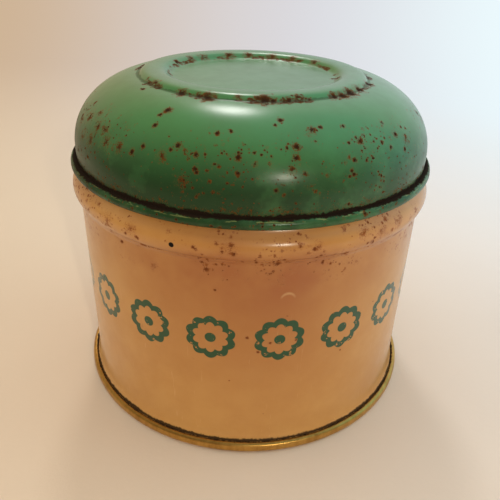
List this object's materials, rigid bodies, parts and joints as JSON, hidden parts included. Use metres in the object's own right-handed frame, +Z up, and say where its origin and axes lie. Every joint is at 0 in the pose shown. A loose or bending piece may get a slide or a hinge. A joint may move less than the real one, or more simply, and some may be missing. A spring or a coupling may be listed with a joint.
{
  "type": "biscuit cutter set in a tin",
  "caption": "Round lidded storage tin with a domed lift-off lid, holding a nest of fluted pastry cutters that lift out one by one.",
  "frame": {"origin": "centre of the flat ring under the bottom seam, which the tin stands on", "axes": "+Z up along the tin's own axis, out through the lid; the body's side seam is on the +Y side"},
  "size_m": [0.0936, 0.0936, 0.083],
  "materials": {
    "cream_enamel": "gloss enamel, worn",
    "green_enamel": "gloss enamel, worn",
    "tinplate": "lacquered tinplate, tarnished",
    "cutter_tinplate": "dull tinplate"
  },
  "bodies": {
    "tin": {"tin_body": "cream_enamel", "tin_bottom": "tinplate"},
    "lid": {"lid": "green_enamel"},
    "cutter_1": {"fluted_cutter_1": "cutter_tinplate"},
    "cutter_2": {"fluted_cutter_2": "cutter_tinplate"},
    "cutter_3": {"fluted_cutter_3": "cutter_tinplate"},
    "cutter_4": {"fluted_cutter_4": "cutter_tinplate"},
    "cutter_5": {"fluted_cutter_5": "cutter_tinplate"},
    "cutter_6": {"fluted_cutter_6": "cutter_tinplate"}
  },
  "joints": [
    {"name": "lid_lift", "type": "slide", "parent": "tin", "child": "lid", "axis": [0, 0, 1], "range_m": [0, 0.2]},
    {"name": "cutter_1_lift", "type": "slide", "parent": "tin", "child": "cutter_1", "axis": [0, 0, 1], "range_m": [0, 0.085]},
    {"name": "cutter_2_lift", "type": "slide", "parent": "tin", "child": "cutter_2", "axis": [0, 0, 1], "range_m": [0, 0.103]},
    {"name": "cutter_3_lift", "type": "slide", "parent": "tin", "child": "cutter_3", "axis": [0, 0, 1], "range_m": [0, 0.121]},
    {"name": "cutter_4_lift", "type": "slide", "parent": "tin", "child": "cutter_4", "axis": [0, 0, 1], "range_m": [0, 0.139]},
    {"name": "cutter_5_lift", "type": "slide", "parent": "tin", "child": "cutter_5", "axis": [0, 0, 1], "range_m": [0, 0.157]},
    {"name": "cutter_6_lift", "type": "slide", "parent": "tin", "child": "cutter_6", "axis": [0, 0, 1], "range_m": [0, 0.175]}
  ],
  "couplings": [
    {"joint": "cutter_1_lift", "follows": "lid_lift", "ratio": 0.425},
    {"joint": "cutter_2_lift", "follows": "lid_lift", "ratio": 0.515},
    {"joint": "cutter_3_lift", "follows": "lid_lift", "ratio": 0.605},
    {"joint": "cutter_4_lift", "follows": "lid_lift", "ratio": 0.695},
    {"joint": "cutter_5_lift", "follows": "lid_lift", "ratio": 0.785},
    {"joint": "cutter_6_lift", "follows": "lid_lift", "ratio": 0.875}
  ]
}
